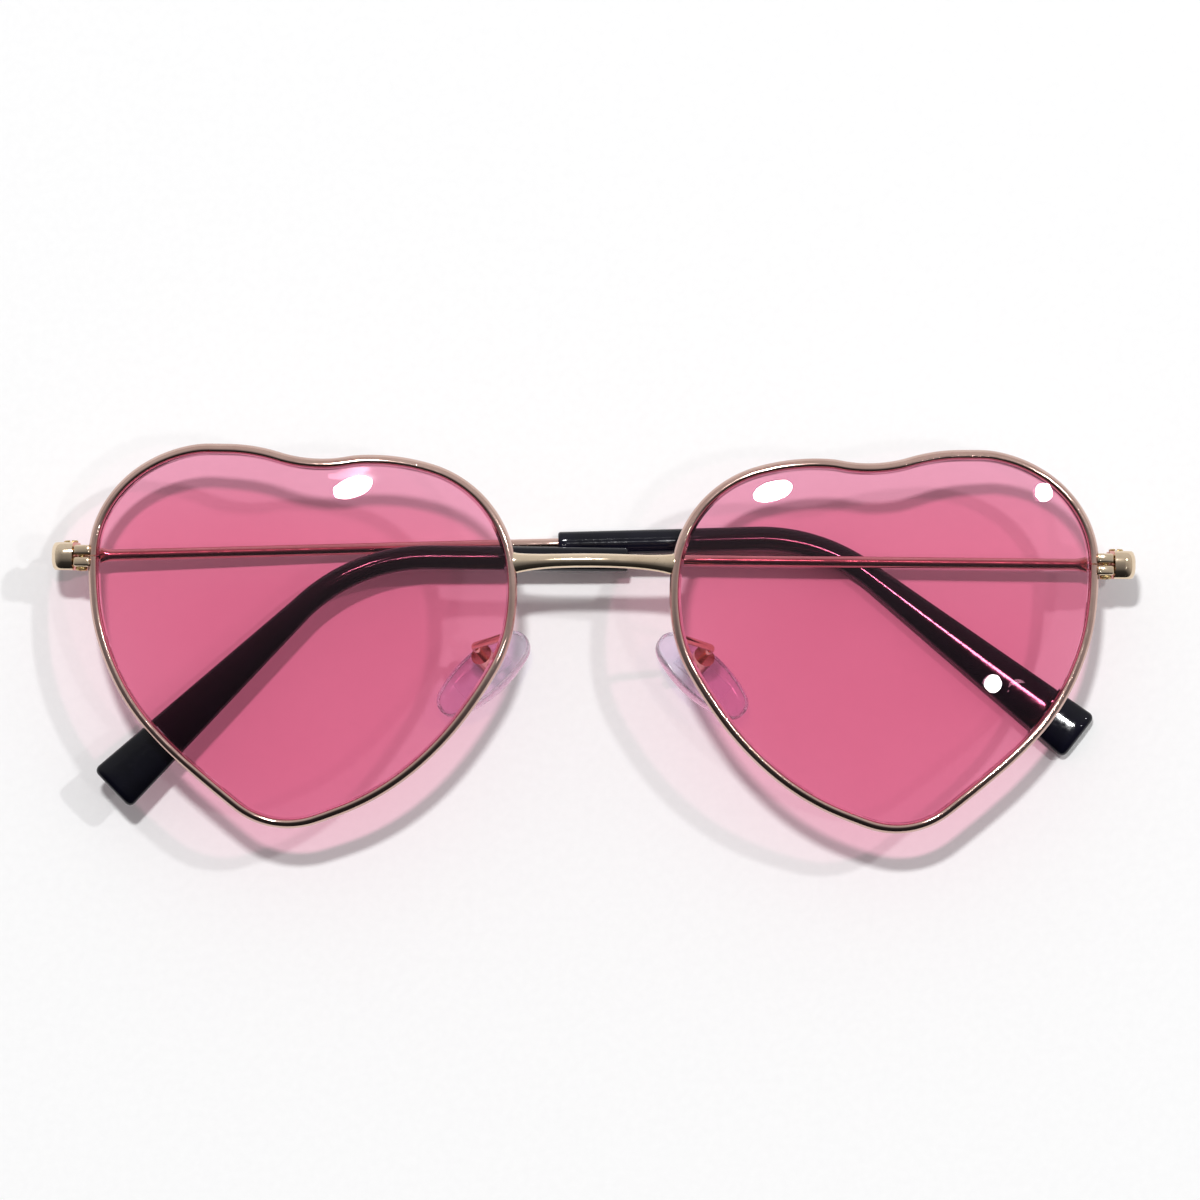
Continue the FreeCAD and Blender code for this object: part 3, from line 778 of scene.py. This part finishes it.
def sleeve_form(bend):
    """Sleeve with the ear bend and a widened, rounded end."""
    arc = sleeve_bend_radius * bend
    whole = sleeve_to_bend + arc + sleeve_after_bend
    half = sleeve_width / 2
    half_end = sleeve_end_width / 2
    half_thick = sleeve_thickness / 2
    start = sleeve_start_round
    lengths = []
    for step in range(sleeve_start_steps + 1):
        lengths.append(start * (1 - math.cos(step / sleeve_start_steps * math.pi / 2)))
    run = whole - start - sleeve_corner_radius
    steps = round(run / sleeve_step)
    lengths += [start + run * (step + 1) / steps for step in range(steps)]
    for step in range(1, sleeve_tip_steps + 1):
        angle = step / sleeve_tip_steps * math.pi / 2
        lengths.append(whole - sleeve_corner_radius * (1 - math.sin(angle)))
    rings = []
    for length in lengths:
        if length < sleeve_to_bend:
            middle = Vector((length, 0, 0))
            turn = 0
        else:
            turn = min((length - sleeve_to_bend) / sleeve_bend_radius, bend)
            run = max(length - sleeve_to_bend - arc, 0)
            middle = Vector((sleeve_to_bend + sleeve_bend_radius * math.sin(turn) + run * math.cos(turn),
                             -sleeve_bend_radius * (1 - math.cos(turn)) - run * math.sin(turn), 0))
        up = Vector((math.sin(turn), math.cos(turn), 0))
        flare = max(length - sleeve_to_bend - arc, 0) / sleeve_after_bend
        width = half + (half_end - half) * flare
        thick = half_thick
        past = length - (whole - sleeve_corner_radius)
        if past > 0:
            width -= sleeve_corner_radius - math.sqrt(max(sleeve_corner_radius ** 2 - past ** 2, 0))
        past = length - (whole - sleeve_edge_radius)
        if past > 0:
            fall = sleeve_edge_radius - math.sqrt(max(sleeve_edge_radius ** 2 - past ** 2, 0))
            thick -= fall * sleeve_tip_thinning_share
        if length < start:
            trim = start - math.sqrt(start ** 2 - (start - length) ** 2)
            width -= trim
            thick -= trim
        power = sleeve_start_power + (sleeve_end_power - sleeve_start_power) * flare
        rings.append([middle + up * a + z_axis * b
                      for a, b in oval_section(width, thick, power, sleeve_sides)])
    return moved(lofted([list(reversed(ring)) for ring in rings]), sleeve_place)


def hinge_place(rise):
    """Frame of a hinge on the wearer's left, with the temple's rise."""
    return (Matrix.Translation((hinge_across, hinge_rise, hinge_height)) @ Matrix.Rotation(math.pi, 4, "Y")
            @ Matrix.Rotation(rise, 4, "Z"))


def temple_place(rise, slope):
    """Frame of a folded temple on the wearer's left."""
    return hinge_place(rise) @ Matrix.Rotation(-slope, 4, "Y")


# Nose pads in the frame of the pad screw: along the pad, along the screw, towards the nose

pad_splay = Matrix.Rotation(-pad_splay_angle, 3, "Z")
pad_along = pad_splay @ x_axis
pad_lean = Matrix.Rotation(math.pi / 2 - pad_tilt_angle, 3, pad_along)
pad_normal = pad_lean @ (pad_splay @ -y_axis)
pad_cross = pad_normal.cross(pad_along)
pad_round = Vector((0, pad_face_radius - pad_width / 2, tab_reach + pad_thickness - pad_face_radius))
pad_screw_height = pad_face_radius - pad_round.y * pad_cross.z - pad_round.z * pad_normal.z
cup_reach = pad_normal * (cup_floor + cup_base)
pad_screw_place = Vector((cup_across + cup_reach.x, -cup_drop + cup_reach.y, pad_screw_height))
pad_place = (Matrix.Translation(pad_screw_place)
             @ Matrix((pad_along, pad_cross, pad_normal)).transposed().to_4x4())


def oval_ring(inset, level):
    """Oval of four tangent arcs at a level, smaller all round by inset."""
    a = pad_length / 2 - inset
    b = pad_width / 2 - inset
    end_radius = pad_end_radius - inset
    reach = a - end_radius
    side_radius = (reach ** 2 + b ** 2 - end_radius ** 2) / (2 * (b - end_radius))
    lift = side_radius - b
    slope = math.atan2(lift, reach)
    spread = math.pi / 2 - slope
    ring = []
    for quarter in range(4):
        end_sign = 1 if quarter in (0, 3) else -1
        for step in range(pad_quarter_steps):
            part = step / pad_quarter_steps
            if quarter in (1, 3):
                part = 1 - part
            # the first share of a quarter goes round the end, the rest along the side
            if part < pad_end_share:
                angle = slope * part / pad_end_share
                x = reach + end_radius * math.cos(angle)
                y = end_radius * math.sin(angle)
            else:
                angle = spread * (1 - (part - pad_end_share) / (1 - pad_end_share))
                x = side_radius * math.sin(angle)
                y = side_radius * math.cos(angle) - lift
            y_sign = 1 if quarter in (0, 1) else -1
            ring.append(Vector((pad_shift + end_sign * x, y_sign * y, level)))
    return ring


def pad_form():
    """Soft oval pad with a rounded, slightly crowned face."""
    back = tab_reach
    face = tab_reach + pad_thickness - pad_crown
    rings = []
    for step in range(pad_back_steps + 1):
        angle = step / pad_back_steps * math.pi / 2
        rings.append(oval_ring(pad_back_break * (1 - math.sin(angle)),
                               back + pad_back_break * (1 - math.cos(angle))))
    for step in range(pad_face_steps + 1):
        angle = step / pad_face_steps * math.pi / 2
        rings.append(oval_ring(pad_face_radius * (1 - math.cos(angle)),
                               face - pad_face_radius * (1 - math.sin(angle))))
    middle = Vector((pad_shift, 0, 0))
    foot = rings[0]
    edge = rings[-1]

    def inner_ring(ring, share, level):
        return [Vector((pad_shift + (point.x - pad_shift) * share, point.y * share, level)) for point in ring]

    for share in pad_inner_shares:
        rings.append(inner_ring(edge, share, face + pad_crown * (1 - share ** 2)))
    rings = [inner_ring(foot, share, back) for share in reversed(pad_inner_shares)] + rings
    return moved(dished(rings, middle + z_axis * back, middle + z_axis * (face + pad_crown)), pad_place)


def pad_arm_form():
    """Wire from the back of the rim to the pad box, with a brazed foot."""
    rim_frame = lens_place @ outline_frame(arm_rise, -1)
    rear = -rim_depth / 2 + arm_radius / 2
    foot = rim_frame @ Vector((rim_thickness / 2, 0, rear))
    knee = rim_frame @ Vector((rim_thickness / 2, 0, -rim_depth / 2 - braze_gap - arm_leg))
    seat = pad_screw_place - cup_reach
    elbow = seat - pad_normal * arm_stub
    path = rounded_path([foot, knee, elbow, seat], arm_bend_radius)
    bend_start = path[1]
    run = [foot.lerp(bend_start, step / arm_foot_steps) for step in range(arm_foot_steps)]
    radii = [arm_radius + arm_foot_flare * (1 - step / (arm_foot_steps - 1)) ** arm_foot_power
             for step in range(arm_foot_steps)]
    path = run + path[1:]
    radii += [arm_radius] * (len(path) - len(radii))
    return tube(path, radii)


# Materials

def new_material(name):
    """Material with its tree, its shader and object coordinates."""
    material = bpy.data.materials.new(name)
    material.use_nodes = True
    tree = material.node_tree
    shader = tree.nodes["Principled BSDF"]
    coordinates = tree.nodes.new("ShaderNodeTexCoord")
    return material, tree, shader, coordinates.outputs["Object"]


def noise(tree, vector, scale, detail=3.0, stretch=None):
    """Noise texture, stretched along the axes if asked."""
    texture = tree.nodes.new("ShaderNodeTexNoise")
    texture.inputs["Scale"].default_value = scale
    texture.inputs["Detail"].default_value = detail
    if stretch:
        mapping = tree.nodes.new("ShaderNodeMapping")
        mapping.inputs["Scale"].default_value = stretch
        tree.links.new(vector, mapping.inputs["Vector"])
        vector = mapping.outputs["Vector"]
    tree.links.new(vector, texture.inputs["Vector"])
    return texture.outputs["Fac"]


def rescaled(tree, value, low, high, low_to, high_to):
    """Value taken from one range to another, and kept within it."""
    node = tree.nodes.new("ShaderNodeMapRange")
    node.inputs["From Min"].default_value = low
    node.inputs["From Max"].default_value = high
    node.inputs["To Min"].default_value = low_to
    node.inputs["To Max"].default_value = high_to
    tree.links.new(value, node.inputs["Value"])
    return node.outputs["Result"]


def ramp(tree, value, stops):
    """Colours along a value. The first two stops are the ends."""
    node = tree.nodes.new("ShaderNodeValToRGB")
    elements = node.color_ramp.elements
    for element, (place, colour) in zip(elements, stops):
        element.position = place
        element.color = (*colour, 1)
    for place, colour in stops[2:]:
        elements.new(place).color = (*colour, 1)
    tree.links.new(value, node.inputs["Fac"])
    return node.outputs["Color"]


def mixed(tree, value, first, second):
    """Two colours mixed by a value."""
    node = tree.nodes.new("ShaderNodeMix")
    node.data_type = "RGBA"
    tree.links.new(value, node.inputs["Factor"])
    for socket, colour in ((node.inputs["A"], first), (node.inputs["B"], second)):
        if isinstance(colour, tuple):
            socket.default_value = (*colour, 1)
        else:
            tree.links.new(colour, socket)
    return node.outputs["Result"]


def math_node(tree, operation, first, second):
    """Sum, product or the like of two values."""
    node = tree.nodes.new("ShaderNodeMath")
    node.operation = operation
    for socket, value in zip(node.inputs, (first, second)):
        if isinstance(value, (int, float)):
            socket.default_value = value
        else:
            tree.links.new(value, socket)
    return node.outputs["Value"]


def bump(tree, shader, height, distance, strength=1.0):
    """Bump from a height on a shader."""
    node = tree.nodes.new("ShaderNodeBump")
    node.inputs["Distance"].default_value = distance
    node.inputs["Strength"].default_value = strength
    tree.links.new(height, node.inputs["Height"])
    tree.links.new(node.outputs["Normal"], shader.inputs["Normal"])


def gold_material(name, darker, lighter):
    """Gold plating, polished, with faint drawing lines, pits and duller patches."""
    material, tree, shader, place = new_material(name)
    shader.inputs["Metallic"].default_value = 1.0
    patches = noise(tree, place, 160.0, 4.0)
    colour = ramp(tree, patches, [(0.30, darker), (0.72, lighter)])
    pits = noise(tree, place, 5200.0, 2.0)
    tarnish = rescaled(tree, pits, 0.66, 0.74, 0.0, 0.45)
    tree.links.new(mixed(tree, tarnish, colour, (0.30, 0.17, 0.10)), shader.inputs["Base Color"])
    dull = noise(tree, place, 700.0, 5.0)
    tree.links.new(rescaled(tree, dull, 0.3, 0.7, 0.06, 0.13), shader.inputs["Roughness"])
    lines = noise(tree, place, 1.0, 3.0, (900.0, 3600.0, 3600.0))
    bump(tree, shader, math_node(tree, "ADD", lines, tarnish), plating_relief, 0.6)
    return material


def screw_material():
    """Yellow brass of the screws, mottled, with a fine grain."""
    material, tree, shader, place = new_material("screw_brass")
    shader.inputs["Metallic"].default_value = 1.0
    patches = noise(tree, place, 900.0, 4.0)
    colour = ramp(tree, patches, [(0.30, (0.42, 0.27, 0.10)), (0.70, (0.66, 0.48, 0.22))])
    tree.links.new(colour, shader.inputs["Base Color"])
    dull = noise(tree, place, 2400.0)
    tree.links.new(rescaled(tree, dull, 0.3, 0.7, 0.18, 0.36), shader.inputs["Roughness"])
    bump(tree, shader, noise(tree, place, 6000.0), brass_relief, 0.5)
    return material


def lamp_glass(tree, shader, shadow_tint):
    """Lets lamps, surroundings and reflections straight through a clear shader, tinted.

    A ray that is already inside the clear piece keeps to the shader, so that it leaves as it should.
    """
    clear = tree.nodes.new("ShaderNodeBsdfTransparent")
    clear.inputs["Color"].default_value = (*shadow_tint, 1)
    light_path = tree.nodes.new("ShaderNodeLightPath")
    shown = shader.outputs["BSDF"]
    for ray, met in (("Is Glossy Ray", clear), ("Is Transmission Ray", shader), ("Is Singular Ray", shader),
                     ("Is Diffuse Ray", clear), ("Is Shadow Ray", clear)):
        mix = tree.nodes.new("ShaderNodeMixShader")
        tree.links.new(light_path.outputs[ray], mix.inputs["Fac"])
        tree.links.new(shown, mix.inputs[1])
        tree.links.new(met.outputs["BSDF"], mix.inputs[2])
        shown = mix.outputs["Shader"]
    tree.links.new(shown, tree.nodes["Material Output"].inputs["Surface"])


def lens_material():
    """Pink tinted lens, with faint unevenness of the tint and wiping smears."""
    material, tree, shader, place = new_material("pink_lens")
    shader.inputs["Transmission Weight"].default_value = 1.0
    shader.inputs["IOR"].default_value = 1.32
    patches = noise(tree, place, 45.0, 2.0)
    colour = ramp(tree, patches, [(0.30, (0.853, 0.362, 0.506)), (0.70, (0.879, 0.388, 0.534))])
    tree.links.new(colour, shader.inputs["Base Color"])
    smears = noise(tree, place, 1.0, 4.0, (60.0, 260.0, 60.0))
    tree.links.new(rescaled(tree, smears, 0.55, 0.80, 0.0, 0.05), shader.inputs["Roughness"])
    bump(tree, shader, noise(tree, place, 70.0, 1.0), lens_ripple, 0.5)
    lamp_glass(tree, shader, (0.917, 0.608, 0.706))
    return material


def sleeve_material():
    """Black plastic with a navy tint, glossy, with moulding ripple and fine scuffs."""
    material, tree, shader, place = new_material("black_sleeve")
    shader.inputs["Specular IOR Level"].default_value = 0.28
    patches = noise(tree, place, 220.0, 3.0)
    colour = ramp(tree, patches, [(0.30, (0.0012, 0.0012, 0.0030)), (0.75, (0.0030, 0.0028, 0.0070))])
    scuffs = noise(tree, place, 1.0, 4.0, (700.0, 4200.0, 4200.0))
    worn = rescaled(tree, scuffs, 0.68, 0.80, 0.0, 0.4)
    tree.links.new(mixed(tree, worn, colour, (0.008, 0.0075, 0.012)), shader.inputs["Base Color"])
    dull = noise(tree, place, 1500.0, 4.0)
    gloss = rescaled(tree, dull, 0.3, 0.7, 0.03, 0.07)
    tree.links.new(math_node(tree, "ADD", gloss, math_node(tree, "MULTIPLY", worn, 0.12)),
                   shader.inputs["Roughness"])
    bump(tree, shader, noise(tree, place, 420.0, 2.0), sleeve_ripple, 0.4)
    return material


def pad_material():
    """Clear soft pad with a lavender tint, faint cloud and a satin surface."""
    material, tree, shader, place = new_material("clear_pad")
    shader.inputs["Transmission Weight"].default_value = 0.9
    shader.inputs["IOR"].default_value = 1.41
    cloud = noise(tree, place, 320.0, 4.0)
    colour = ramp(tree, cloud, [(0.30, (0.87, 0.85, 0.965)), (0.75, (0.93, 0.915, 0.99))])
    tree.links.new(colour, shader.inputs["Base Color"])
    dull = noise(tree, place, 1800.0)
    tree.links.new(rescaled(tree, dull, 0.3, 0.7, 0.10, 0.26), shader.inputs["Roughness"])
    bump(tree, shader, noise(tree, place, 900.0, 2.0), pad_ripple, 0.4)
    lamp_glass(tree, shader, (0.93, 0.92, 0.965))
    return material


def core_material():
    """Stiff clear core of the pad, a little cloudier."""
    material, tree, shader, place = new_material("pad_core")
    shader.inputs["Transmission Weight"].default_value = 0.9
    shader.inputs["IOR"].default_value = 1.06
    cloud = noise(tree, place, 600.0, 3.0)
    colour = ramp(tree, cloud, [(0.30, (0.93, 0.92, 0.97)), (0.75, (0.97, 0.96, 0.99))])
    tree.links.new(colour, shader.inputs["Base Color"])
    dull = noise(tree, place, 2200.0)
    tree.links.new(rescaled(tree, dull, 0.3, 0.7, 0.10, 0.20), shader.inputs["Roughness"])
    bump(tree, shader, noise(tree, place, 500.0, 1.0), core_ripple, 0.3)
    lamp_glass(tree, shader, (0.98, 0.975, 0.985))
    return material


def floor_material():
    """Plain white board with a faint grain."""
    material, tree, shader, place = new_material("white_board")
    grain = noise(tree, place, 900.0, 3.0)
    colour = ramp(tree, grain, [(0.30, (0.965, 0.965, 0.965)), (0.70, (0.985, 0.985, 0.985))])
    tree.links.new(colour, shader.inputs["Base Color"])
    shader.inputs["Roughness"].default_value = 0.9
    shader.inputs["Specular IOR Level"].default_value = 0.0
    return material


gold = gold_material("gold_plating", (0.72, 0.565, 0.40), (0.86, 0.70, 0.52))
# The rims and temple wires take a darker, rosier copy of the same gold plating: painted shade and a painted
# pink reflection of the lenses, not a different metal.
gold_painted_shade = gold_material("gold_plating_painted_shade", (0.54, 0.355, 0.305), (0.66, 0.455, 0.395))
brass = screw_material()
pink = lens_material()
black = sleeve_material()
clear = pad_material()
core = core_material()

# Pieces

still = Matrix.Identity(4)
screw_sizes = {
    "lock_screw": (lock_screw_radius, lock_height, lock_head_radius, lock_head_height),
    "hinge_screw": (hinge_screw_radius, 2 * hinge_stack, hinge_head_radius, hinge_head_height),
    "pad_screw": (pad_screw_radius, 2 * cup_radius, pad_head_radius, pad_head_height),
}
screws = {name: screw_form(*sizes) for name, sizes in screw_sizes.items()}
lock_seat = lock_frame @ Matrix.Translation((lock_length / 2, -lock_height / 2 - screw_fit, 0))
screw_seats = {
    "lock_screw": lock_seat @ Matrix.Rotation(math.pi, 4, "X"),
    "pad_screw": pad_place @ Matrix.Translation((0, cup_radius + screw_fit, 0)),
}
front_forms = {
    # The rim's darker, rosier gold is painted shade and painted pink reflection.
    "rim": (rim_form(), lens_place, gold_painted_shade, "frame_metal"),
    "lens": (lens_form(), lens_place, pink, "lens_tint"),
    "lock_upper": (lock_form(1), lens_place, gold, "frame_metal"),
    "lock_lower": (lock_form(-1), lens_place, gold, "frame_metal"),
    "end_piece": (end_piece_form(), still, gold, "frame_metal"),
    "pad_arm": (pad_arm_form(), still, gold, "frame_metal"),
    "lock_screw": (screws["lock_screw"], screw_seats["lock_screw"], brass, "screw_metal"),
    "pad_screw": (screws["pad_screw"], screw_seats["pad_screw"], brass, "screw_metal"),
}
soft_pad = pad_form()
wire = temple_wire_form()
hinge_screw_seat = Matrix.Translation((0, hinge_stack + screw_fit, 0))

add_piece("bridge_wire", bridge_form(), still, gold, "front", ["bridge"])
for side, flip, rise, slope, bend in (
        ("left", still, left_rise_angle, left_slope_angle, left_bend_angle),
        ("right", mirror, right_rise_angle, bow_angle, right_bend_angle)):
    for name, (form, place, material, slot) in front_forms.items():
        add_piece(f"{side}_{name}_shown", form, flip @ place, material, "front", [f"{side}_{name}"])
    add_piece(f"{side}_hinge_screw_shown", screws["hinge_screw"], flip @ hinge_place(rise) @ hinge_screw_seat,
              brass, "front", [f"{side}_hinge_screw"])
    pad = add_piece(f"{side}_pad_shown", soft_pad, flip, clear, f"{side}_pad",
                    [f"{side}_nose_pad"])
    temple = flip @ temple_place(rise, slope)
    # The wire's darker, rosier gold is painted shade and painted pink reflection.
    add_piece(f"{side}_wire_shown", wire, temple, gold_painted_shade, f"{side}_temple",
              [f"{side}_temple_wire"])
    add_piece(f"{side}_sleeve_shown", sleeve_form(bend), temple, black, f"{side}_temple",
              [f"{side}_temple_sleeve"])
    for name in ("pad_box", "hinge_front", "hinge_temple"):
        frame["nodes"][f"{side}_{name}"].material_slots[0].material = gold
    frame["nodes"][f"{side}_pad_insert"].material_slots[0].material = core

# Floor, light and camera

floor_level = min(cad_box[0].z, 0) - floor_drop
floor_corners = [Vector((x * floor_half, y * floor_half, floor_level))
                 for x, y in ((-1, -1), (1, -1), (1, 1), (-1, 1))]
floor = mesh_object("floor", (floor_corners, [(0, 1, 2, 3)]))
floor.data.materials.append(floor_material())


def add_lamp(name, toward, power, across, other_share=1.0, roll_angle=0.0):
    """Round or oval lamp that shines on the part from a direction."""
    light = bpy.data.lights.new(name, "AREA")
    light.shape = "ELLIPSE"
    light.size = across
    light.size_y = across * other_share
    light.energy = power
    lamp = bpy.data.objects.new(name, light)
    direction = Vector(toward).normalized()
    lamp.location = direction * lamp_distance
    lamp.rotation_mode = "QUATERNION"
    lamp.rotation_quaternion = direction.to_track_quat("Z", "Y") @ Quaternion(z_axis, roll_angle)
    lamp.visible_camera = False
    bpy.context.scene.collection.objects.link(lamp)
    return lamp


add_lamp("brow_lamp", brow_lamp_toward, brow_lamp_power, brow_lamp_across, brow_lamp_share, brow_roll_angle)
add_lamp("side_lamp", side_lamp_toward, side_lamp_power, lamp_across)
add_lamp("low_lamp", low_lamp_toward, low_lamp_power, lamp_across)
# These lamps give the sleeves their long highlights and shine on nothing else
for side, toward, power, across, share, roll_angle in (
        ("left", left_sleeve_lamp_toward, left_sleeve_lamp_power, left_sleeve_lamp_across,
         left_sleeve_lamp_share, left_sleeve_roll_angle),
        ("right", right_sleeve_lamp_toward, right_sleeve_lamp_power, right_sleeve_lamp_across,
         right_sleeve_lamp_share, right_sleeve_roll_angle)):
    sleeve_lamp = add_lamp(f"{side}_sleeve_lamp", toward, power, across, share, roll_angle)
    sleeve_only = bpy.data.collections.new(f"{side}_sleeve_only")
    sleeve_only.objects.link(bpy.data.objects[f"{side}_sleeve_shown"])
    sleeve_lamp.light_linking.receiver_collection = sleeve_only

# The surroundings: bright on the brow side, dim overhead, dark on the near side
world = bpy.data.worlds.new("studio")
bpy.context.scene.world = world
world.use_nodes = True
world_tree = world.node_tree
direction = world_tree.nodes.new("ShaderNodeTexCoord").outputs["Generated"]
toward_brow = world_tree.nodes.new("ShaderNodeVectorMath")
toward_brow.operation = "DOT_PRODUCT"
toward_brow.inputs[1].default_value = sky_toward
world_tree.links.new(direction, toward_brow.inputs[0])
sky_part = math_node(world_tree, "ADD", toward_brow.outputs["Value"], sky_middle)
sky = ramp(world_tree, sky_part,
           [(0.00, (0.015, 0.015, 0.016)), (1.00, (0.66, 0.66, 0.66)), (0.14, (0.035, 0.035, 0.037)),
            (0.30, (0.20, 0.20, 0.21)), (0.42, (0.41, 0.41, 0.41)), (0.52, (0.50, 0.50, 0.50)),
            (0.70, (0.58, 0.58, 0.58))])
background = world_tree.nodes["Background"]
world_tree.links.new(sky, background.inputs["Color"])
background.inputs["Strength"].default_value = sky_strength

camera_data = bpy.data.cameras.new("photo_camera")
camera_data.lens = camera_lens
camera_data.sensor_width = camera_sensor
camera_data.clip_end = camera_reach
camera = bpy.data.objects.new("photo_camera", camera_data)
camera.location = photo_middle + z_axis * (photo_width * camera_lens / camera_sensor)
camera.rotation_euler = (0, 0, photo_turn_angle)
bpy.context.scene.collection.objects.link(camera)
bpy.context.scene.camera = camera
bpy.context.scene.view_settings.view_transform = "Standard"
